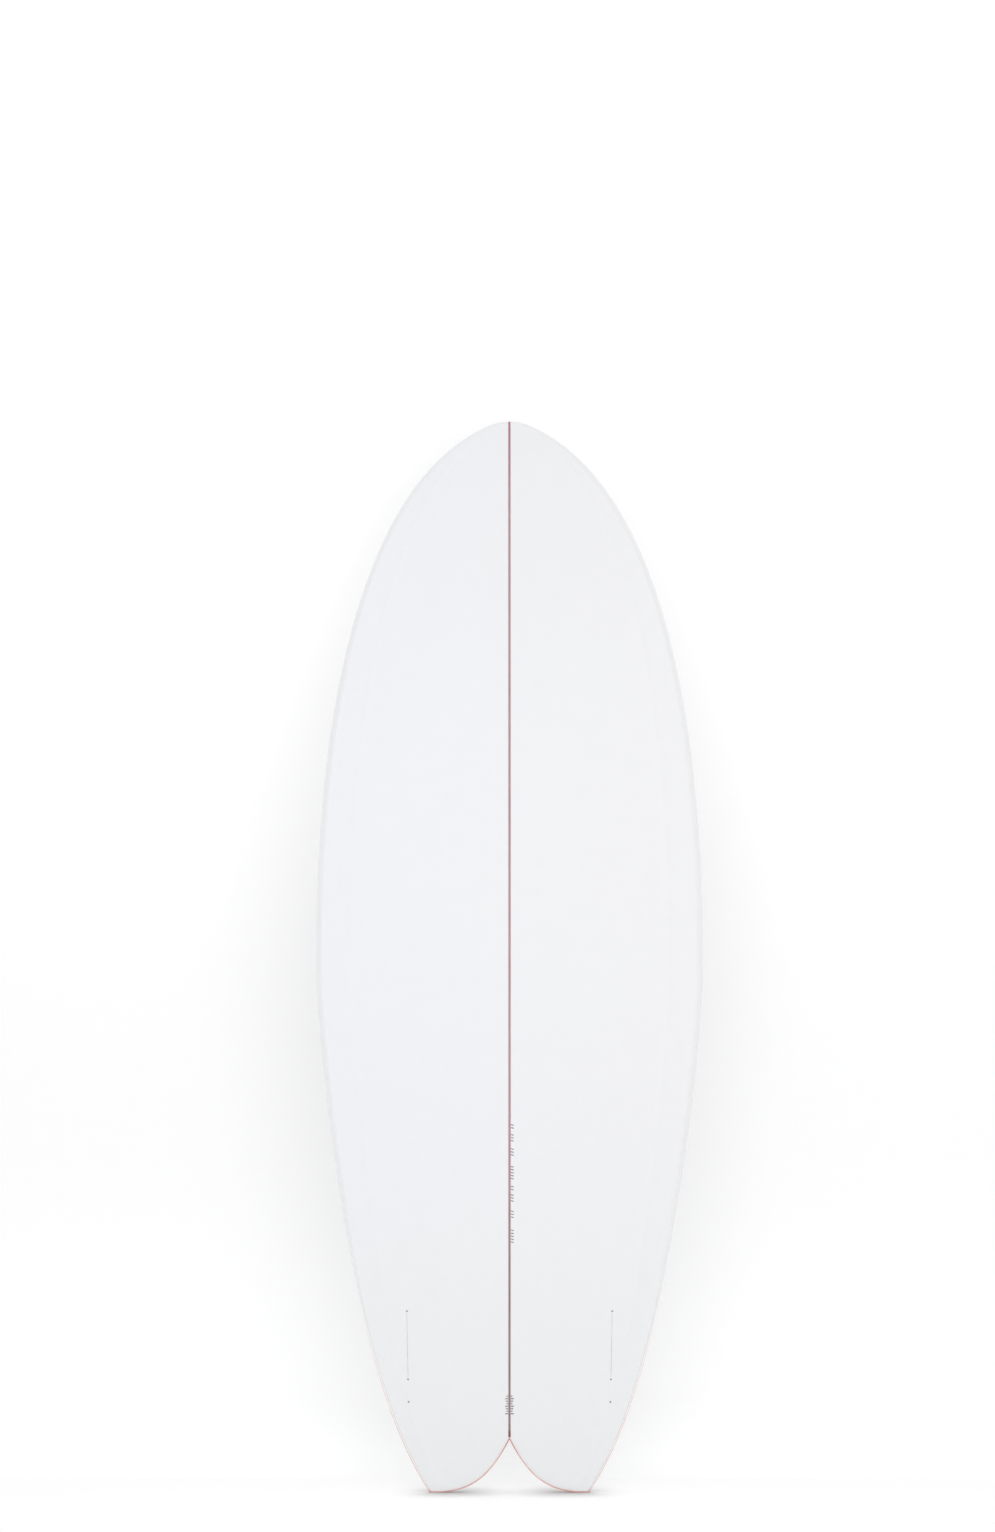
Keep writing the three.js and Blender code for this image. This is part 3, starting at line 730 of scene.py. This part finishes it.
GLUE_PLUM = srgb(158, 132, 154)
GLUE_RED = srgb(174, 122, 124)
GLUE_PALE = srgb(194, 168, 170)
GLUE_TAIL_LEFT = srgb(150, 148, 156)
GLUE_TAIL_RIGHT = srgb(166, 154, 140)
STARVED_GRAIN, STARVED_COVER = (300, 300, 35), 0.5
GLUE_GRAIN, GLUE_RELIEF, GLUE_ROUGHNESS = (1500, 1500, 300), 0.00003, 0.45


def glue_material():
    """Tinted glue: plum left of the stringer, brick red right of it, and greyer in the tail."""
    recipe = Recipe("tinted_glue")
    right = recipe.between(recipe.x, -STRINGER_HALF * MM, STRINGER_HALF * MM)
    base = recipe.mix(right, GLUE_PLUM, GLUE_RED)
    patches = recipe.noise(STARVED_GRAIN, detail=3)
    starved = recipe.between(patches, 0.5, 0.75, 0, STARVED_COVER)
    base = recipe.mix(starved, base, GLUE_PALE)
    tail = recipe.mix(right, GLUE_TAIL_LEFT, GLUE_TAIL_RIGHT)
    base = recipe.mix(recipe.between(recipe.z, *CORE_TAIL_ZONE), base, tail)
    base = recipe.mix(recipe.between(recipe.z, *CORE_END_ZONE), base, WOOD_END)
    normal = recipe.bump(recipe.noise(GLUE_GRAIN), GLUE_RELIEF, strength=0.4)
    return recipe.done(recipe.solid(base, GLUE_ROUGHNESS, normal))


CLOTH_WHITE = srgb(238, 240, 242)
CLOTH_PITCH = 1.6
CLOTH_COVER = 0.018  # the threads' mean share of the light that meets them
DRY_GRAIN, DRY_SHARES = 30.0, (0.7, 1.3)  # patches where the resin lies thinner over the threads
CLOTH_RELIEF, CLOTH_ROUGHNESS = 0.00002, 0.5


def cloth_material(name):
    """Fine plain-weave glass wetted out in resin, nearly clear, with faint white threads."""
    recipe = Recipe(name)
    turns = 2 * math.pi / (CLOTH_PITCH * MM)
    warp = recipe.maths("SINE", recipe.maths("MULTIPLY", recipe.x, turns))
    weft = recipe.maths("SINE", recipe.maths("MULTIPLY", recipe.z, turns))
    weave = recipe.maths("MULTIPLY", warp, weft)
    dry = recipe.noise(DRY_GRAIN, detail=3)
    threads = recipe.between(weave, -1, 1, 0.5 * CLOTH_COVER, 1.5 * CLOTH_COVER)
    cover = recipe.maths("MULTIPLY", threads, recipe.between(dry, *NOISE_RANGE, *DRY_SHARES))
    normal = recipe.bump(weave, CLOTH_RELIEF, strength=0.3)
    glass = recipe.solid(CLOTH_WHITE, CLOTH_ROUGHNESS, normal, **MATT_GLOSS)
    return recipe.done(recipe.over(recipe.seen_front(cover), recipe.clear(), glass))


COAT_SHEEN, COAT_ROUGHNESS = 0.4, (0.32, 0.48)
SCRATCH_GRAIN, SCRATCH_HEIGHT, WAVE_GRAIN = (900, 900, 40), 0.08, 18.0
COAT_RELIEF = 0.0002
RESIN_IOR = 1.5


def coat_material():
    """Clear filler coat, fine-sanded to satin: a weak broken sheen and hair-thin scratches."""
    recipe = Recipe("satin_coat")
    scratch = recipe.noise(SCRATCH_GRAIN)
    waves = recipe.noise(WAVE_GRAIN)
    height = recipe.maths("MULTIPLY_ADD", scratch, SCRATCH_HEIGHT, waves)
    normal = recipe.bump(height, COAT_RELIEF, strength=0.25)
    roughness = recipe.between(scratch, *NOISE_RANGE, *COAT_ROUGHNESS)
    inputs = {"Color": (1, 1, 1, 1), "Roughness": roughness, "Normal": normal}
    gloss = recipe.add("ShaderNodeBsdfGlossy", inputs).outputs[0]
    fresnel = recipe.add("ShaderNodeFresnel", {"IOR": RESIN_IOR, "Normal": normal}).outputs[0]
    share = recipe.seen_front(recipe.maths("MULTIPLY", fresnel, COAT_SHEEN))
    return recipe.done(recipe.over(share, recipe.clear(), gloss))


BEAD_RED = srgb(226, 150, 136)
BEAD_PALE = srgb(238, 182, 168)
BEAD_DARK = srgb(196, 56, 46)
POOL_GRAIN = 90.0
BEAD_GRAIN, BEAD_RELIEF, BEAD_ROUGHNESS = 700.0, 0.00003, (0.3, 0.45)
CROTCH_REACH = 0.02  # how far from the centre the resin is darkened
RAIL_START, RAIL_COVER = 0.003, (0.35, 0.08)  # its fade past the corner, and its cover up the rail


def bead_material():
    """Tinted resin edge: dusty pink along the swallow cut, much thinner up the rails."""
    recipe = Recipe("tinted_resin")
    pool = recipe.noise(POOL_GRAIN, detail=3)
    base = recipe.mix(recipe.between(pool, 0.35, 0.7), BEAD_RED, BEAD_PALE)
    across = recipe.maths("ABSOLUTE", recipe.x)
    base = recipe.mix(recipe.between(across, CROTCH_REACH, 0.0), base, BEAD_DARK)
    roughness = recipe.between(pool, *NOISE_RANGE, *BEAD_ROUGHNESS)
    normal = recipe.bump(recipe.noise(BEAD_GRAIN), BEAD_RELIEF, strength=0.4)
    resin = recipe.solid(base, roughness, normal)
    up_rail = recipe.between(recipe.z, 0.0, BEAD_END_Z * MM, *RAIL_COVER)
    corner = TAIL_CORNER[0] * MM
    on_rail = recipe.between(across, corner - RAIL_START, corner + RAIL_START)
    share = recipe.maths("MULTIPLY_ADD", recipe.maths("SUBTRACT", up_rail, 1.0), on_rail, 1.0)
    return recipe.done(recipe.over(share, recipe.clear(), resin))


PENCIL_PALE = srgb(150, 142, 154)
PENCIL_GREY = srgb(104, 98, 112)
PENCIL_BLACK = srgb(28, 34, 44)
LEAD_GRAIN, LEAD_SHARES = (2600, 2600, 1800), (0.35, 1.0)
WANDER_GRAIN, WANDER_SHARES = 60.0, (0.6, 1.2)  # the stroke gets weaker and stronger
LEAD_RELIEF, LEAD_ROUGHNESS = 0.00002, 0.6


def pencil_material(name, cover, darkest):
    """Graphite rubbed onto foam: grains with bare foam showing between them."""
    recipe = Recipe(name)
    grain = recipe.noise(LEAD_GRAIN)
    wander = recipe.noise(WANDER_GRAIN, detail=1)
    share = recipe.maths("MULTIPLY", recipe.between(grain, 0.35, 0.6, *LEAD_SHARES), cover)
    share = recipe.maths("MULTIPLY", share, recipe.between(wander, *NOISE_RANGE, *WANDER_SHARES))
    base = recipe.mix(grain, darkest, PENCIL_PALE)
    lead = recipe.solid(base, LEAD_ROUGHNESS, recipe.bump(grain, LEAD_RELIEF, strength=0.4))
    return recipe.done(recipe.over(share, recipe.clear(), lead))


PLASTIC_WHITE, PLASTIC_DIRT = srgb(238, 238, 235), srgb(196, 194, 186)
SPARK_GRAIN, SPARK_RELIEF = 2600.0, 0.00003
DIRT_GRAIN, DIRT_COVER = 140.0, 0.35
PLASTIC_ROUGHNESS = (0.3, 0.42)


def plastic_material():
    """Satin white moulded plastic with a fine spark-eroded texture and a little handling dirt."""
    recipe = Recipe("plug_plastic")
    grain = recipe.noise(SPARK_GRAIN)
    dirt = recipe.between(recipe.noise(DIRT_GRAIN, detail=4), 0.5, 0.8, 0, DIRT_COVER)
    base = recipe.mix(dirt, PLASTIC_WHITE, PLASTIC_DIRT)
    roughness = recipe.between(grain, *NOISE_RANGE, *PLASTIC_ROUGHNESS)
    normal = recipe.bump(grain, SPARK_RELIEF, strength=0.5)
    return recipe.done(recipe.solid(base, roughness, normal))


STEEL_DARK, STEEL_BRIGHT = srgb(176, 179, 183), srgb(222, 224, 226)
DRAWN_GRAIN, DRAWN_RELIEF = (60, 5200, 5200), 0.00001
STEEL_ROUGHNESS = (0.18, 0.38)


def steel_material():
    """Drawn stainless bar: fine lines along it and a brushed gloss."""
    recipe = Recipe("plug_steel")
    lines = recipe.noise(DRAWN_GRAIN, detail=4)
    base = recipe.mix(lines, STEEL_DARK, STEEL_BRIGHT)
    roughness = recipe.between(lines, *NOISE_RANGE, *STEEL_ROUGHNESS)
    normal = recipe.bump(lines, DRAWN_RELIEF, strength=0.5)
    return recipe.done(recipe.solid(base, roughness, normal, Metallic=1.0))


# ---- Assembly ----
foam = foam_material()
inner_cloth = cloth_material("inner_glass_cloth")
outer_cloth = cloth_material("outer_glass_cloth")
coat = coat_material()
glue = glue_material()
resin = bead_material()

to_plug = plug_matrix()
hole = link_mesh("hole_cutter", build_mesh("hole_cutter", [plug_hole()], to_plug))

piece("blank_left", [foam_half(-1)], foam, "foam_core_left")
piece("blank_right", [foam_half(1)], foam, "foam_core_right", hole=hole)
piece(
    "stringer_strip",
    [core_slab(-STRINGER_HALF, STRINGER_HALF)],
    wood_material(),
    "stringer",
)
piece("glue_seam_left", [core_slab(-GLUE_TO, -GLUE_FROM)], glue, "glue_line_left")
piece("glue_seam_right", [core_slab(GLUE_FROM, GLUE_TO)], glue, "glue_line_right")
piece(
    "bottom_glass",
    [layer(ways(0, DECK_LAP), *INNER_CLOTH)],
    inner_cloth,
    "bottom_laminate",
)
piece(
    "deck_glass_inner",
    [layer(ways(DECK_CENTRE, DECK_LAP + INNER_LAP_GAP), *INNER_CLOTH)],
    inner_cloth,
    "deck_laminate_inner",
    hole=hole,
)
piece(
    "deck_glass_outer",
    [layer(ways(DECK_CENTRE, BOTTOM_LAP), *OUTER_CLOTH)],
    outer_cloth,
    "deck_laminate_outer",
    hole=hole,
)
bottom_ways = ways(0, *LAP_EDGE, APEX - SEAM)
bottom_inner = np.interp(bottom_ways, LAP_EDGE, (OUTER_CLOTH[1], COAT_DEPTH))
piece(
    "bottom_coat",
    [layer(bottom_ways, 0, bottom_inner)],
    coat,
    "bottom_finish_coat",
)
piece(
    "deck_coat",
    [layer(ways(DECK_CENTRE, APEX + SEAM), 0, COAT_DEPTH)],
    coat,
    "deck_finish_coat",
    hole=hole,
)
piece("tail_wall_glass", [wall_glass()], outer_cloth, "tail_wall_wrap")
piece("bead_left", [tail_bead(-1)], resin, "tail_edge_bead_left")
piece("bead_right", [tail_bead(1)], resin, "tail_edge_bead_right")
piece("plug_cup", [plug_cup()], plastic_material(), "leash_plug_cup", to_frame=to_plug)
piece("plug_bar", [plug_bar()], steel_material(), "leash_plug_bar", to_frame=to_plug)
bpy.data.objects.remove(hole)

# Where the shaper marked the fins: three dots a side, the upper two joined by a light line.
FIN_DOTS = ((145, 260.5), (143.4, 163), (142.7, 130.5))
DOT_RADIUS = 1.3
LINE_WIDTH = 0.9
FIRM_COVER, LIGHT_COVER, SOFT_COVER = 0.6, 0.17, 1.0
firm_pencil = pencil_material("firm_pencil", FIRM_COVER, PENCIL_GREY)
light_pencil = pencil_material("light_pencil", LIGHT_COVER, PENCIL_GREY)
soft_pencil = pencil_material("soft_pencil", SOFT_COVER, PENCIL_BLACK)
for name, side in (("left", -1), ("right", 1)):
    places = [(side * x, z) for x, z in FIN_DOTS]
    piece(f"fin_dots_{name}", [dot(x, z, DOT_RADIUS) for x, z in places], firm_pencil)
    piece(f"fin_line_{name}", [stroke(places[0], places[1], LINE_WIDTH)], light_pencil)

# A run of ticks beside the stringer, in groups, and a block of short dashes near the tail.
TICK_GROUPS = ((525, 2), (511, 3), (491, 3), (466, 5), (438, 2), (426, 3), (403, 3), (376, 5))
TICK_SPACING, TICK_WIDTH = 4.2, 1.3
TICK_FROM, TICK_TO, TICK_FALL = 1.85, 6.1, 1.2
ticks = [
    stroke((TICK_FROM, z), (TICK_TO, z - TICK_FALL), TICK_WIDTH)
    for top, count in TICK_GROUPS
    for z in top - TICK_SPACING * np.arange(count)
]
piece("stringer_ticks", ticks, soft_pencil)
DASH_HEIGHTS, DASH_WIDTH = np.arange(114, 140, 3.6), 1.6
DASH_FROM, DASH_ENDS = 1.8, (6.3, 4.3, 5.3)  # the ends in turn, so that the block's edge is ragged
dashes = [
    stroke((side * DASH_FROM, z), (side * DASH_ENDS[i % len(DASH_ENDS)], z), DASH_WIDTH)
    for side in (-1, 1)
    for i, z in enumerate(DASH_HEIGHTS)
]
piece("tail_dashes", dashes, soft_pencil)


# ---- Stage, light and camera ----
FLOOR_HALF = 40.0
BACKDROP_FOOT, COVE_RADIUS, COVE_STEPS, BACKDROP_SIZE = 0.1, 0.1, 24, 6.0
WORLD_LIGHT, WORLD_SEEN = 0.835, 1.15
LAMP_PLACE, LAMP_TARGET = (0.1, -2.0, 1.25), (0, 0, 0.8)
LAMP_SIZE, LAMP_POWER = 2.0, 9.9
STAGE_WHITE = srgb(250, 250, 250)
FLOOR_LIFT, BACKDROP_LIFT = 0.095, 0.06  # brightness added for the camera only
LOW_LIFT, LOW_ZONE = 0.045, (0.5, 0.1)  # and what is added to it towards the floor
HIGH_LIFT, HIGH_ZONE = 0.08, (0.6, 1.4)  # and towards the nose and above it
# A painted contact shadow on the floor, drawn from ambient occlusion: its reach, steepness and darkest
# share.
SHADOW_PAINT_REACH, SHADOW_PAINT_POWER, SHADOW_PAINT_DARKEST = 0.05, 1.4, 0.25
SHADOW_PAINT_ZONE = (0.06, 0.085)  # where this painted shadow ends, so that the backdrop has no part in it
SIDE_FADE = (0.75, 0.93)  # how far a look turns sideways while the backdrop fades from it
CARD_GRAIN, CARD_RELIEF, CARD_ROUGHNESS = 60.0, 0.0001, 0.9
FRAME_WIDTH, FRAME_HEIGHT = 995, 1532
SENSOR = 36.0
CAMERA_DISTANCE = 6.0
NOSE_DOWN, TAIL_DOWN = 0.2745, 0.9745  # shares of the frame's height, from its top
CENTRE_ACROSS = 0.512  # the stringer's place across the frame


def stage_material(name, camera_only=False):
    """Matt white card. To the camera it is a little brighter than it is lit, so that it turns out
    white, with a painted contact shadow from ambient occlusion where something stands on it."""
    recipe = Recipe(name)
    # Painted contact shadow: the card's colour darkens where ambient occlusion finds something near.
    near = recipe.add("ShaderNodeAmbientOcclusion", {"Distance": SHADOW_PAINT_REACH}).outputs["AO"]
    shade = recipe.maths("POWER", near, SHADOW_PAINT_POWER)
    shade = recipe.maths("MULTIPLY_ADD", shade, 1 - SHADOW_PAINT_DARKEST, SHADOW_PAINT_DARKEST)
    shade = recipe.between(recipe.y, *SHADOW_PAINT_ZONE, shade, 1.0)
    base = recipe.mix(shade, (0, 0, 0, 1), STAGE_WHITE)
    base = recipe.mix(recipe.seen(), STAGE_WHITE, base)
    facing = recipe.add("ShaderNodeNewGeometry").outputs["Normal"]
    level = recipe.add("ShaderNodeSeparateXYZ", {0: facing}).outputs[2]
    lift = recipe.between(level, 0, 1, BACKDROP_LIFT, FLOOR_LIFT)
    lift = recipe.maths("ADD", lift, recipe.between(recipe.z, *LOW_ZONE, 0, LOW_LIFT))
    lift = recipe.maths("ADD", lift, recipe.between(recipe.z, *HIGH_ZONE, 0, HIGH_LIFT))
    lift = recipe.maths("MULTIPLY", recipe.maths("MULTIPLY", shade, recipe.seen()), lift)
    lifted = {"Emission Color": (1, 1, 1, 1), "Emission Strength": lift}
    normal = recipe.bump(recipe.noise(CARD_GRAIN), CARD_RELIEF, strength=0.1)
    card = recipe.solid(base, CARD_ROUGHNESS, normal, **lifted)
    if camera_only:
        incoming = recipe.add("ShaderNodeNewGeometry").outputs["Incoming"]
        sideways = recipe.add("ShaderNodeSeparateXYZ", {0: incoming}).outputs[0]
        facing_it = recipe.between(recipe.maths("ABSOLUTE", sideways), *SIDE_FADE, 1.0, 0.0)
        card = recipe.over(recipe.seen_front(facing_it), recipe.clear(), card)
    return recipe.done(card)


def make_card(name, profile, half_width, material):
    """A sheet swept across the scene along X, from its (y, z) profile."""
    points = [(side * half_width, y, cad_low.z + z) for side in (-1, 1) for y, z in profile]
    count = len(profile)
    faces = [(i, i + count, i + count + 1, i + 1) for i in range(count - 1)]
    mesh = bpy.data.meshes.new(name)
    mesh.from_pydata(points, [], faces)
    mesh.shade_smooth()
    mesh.materials.append(material)
    link_mesh(name, mesh)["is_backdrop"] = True


def make_floor():
    profile = [(-FLOOR_HALF, 0), (FLOOR_HALF, 0)]
    make_card("floor", profile, FLOOR_HALF, stage_material("pale_floor"))


def make_backdrop():
    """A white card that sweeps up close behind the board and takes its soft shadow. Only the
    camera sees it, and only from the front, so it leaves the light and the other views alone."""
    centre = np.array((BACKDROP_FOOT, COVE_RADIUS))
    turn, _ = arc(centre, COVE_RADIUS, -math.pi / 2, 0, steps(COVE_STEPS))
    profile = [*turn.tolist(), (BACKDROP_FOOT + COVE_RADIUS, BACKDROP_SIZE)]
    make_card("backdrop", profile, BACKDROP_SIZE, stage_material("pale_backdrop", camera_only=True))


def make_light():
    """A white room that looks brighter to the camera than it shines, and one wide soft lamp."""
    world = bpy.data.worlds.new("studio")
    world.use_nodes = True
    nodes, links = world.node_tree.nodes, world.node_tree.links
    room = nodes["Background"]
    room.inputs["Color"].default_value = (1, 1, 1, 1)
    seen = nodes.new("ShaderNodeMapRange")
    seen.inputs["To Min"].default_value = WORLD_LIGHT
    seen.inputs["To Max"].default_value = WORLD_SEEN
    links.new(nodes.new("ShaderNodeLightPath").outputs["Is Camera Ray"], seen.inputs["Value"])
    links.new(seen.outputs[0], room.inputs["Strength"])
    bpy.context.scene.world = world
    lamp = bpy.data.lights.new("soft_lamp", "AREA")
    lamp.energy = LAMP_POWER
    lamp.size = LAMP_SIZE
    softbox = bpy.data.objects.new("soft_lamp", lamp)
    softbox.location = LAMP_PLACE
    aim = Vector(LAMP_TARGET) - Vector(LAMP_PLACE)
    softbox.rotation_euler = aim.to_track_quat("-Z", "Y").to_euler()
    softbox.visible_camera = False
    bpy.context.scene.collection.objects.link(softbox)


def make_camera():
    """A level camera in front of the bottom. Its lens and height put the nose and the tail tips
    at their places down the frame."""
    low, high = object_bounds()
    tip_distance = CAMERA_DISTANCE + (rocker(0) + BOTTOM_Y) * MM
    nose_distance = CAMERA_DISTANCE + (rocker(LENGTH) + BOTTOM_Y) * MM
    above, below = (0.5 - NOSE_DOWN) * nose_distance, (TAIL_DOWN - 0.5) * tip_distance
    zoom = (above + below) / (high.z - low.z)
    data = bpy.data.cameras.new("camera")
    data.sensor_width = SENSOR
    data.lens = SENSOR * zoom
    camera = bpy.data.objects.new("camera", data)
    frame_width = FRAME_WIDTH / FRAME_HEIGHT
    across = (CENTRE_ACROSS - 0.5) * frame_width * CAMERA_DISTANCE / zoom
    camera.location = (-across, -CAMERA_DISTANCE, low.z + below / zoom)
    camera.rotation_euler = (math.pi / 2, 0, 0)
    bpy.context.scene.collection.objects.link(camera)
    bpy.context.scene.camera = camera


make_floor()
make_backdrop()
make_light()
make_camera()
scene = bpy.context.scene
scene.view_settings.view_transform = "Standard"
scene.cycles.transparent_max_bounces = 32
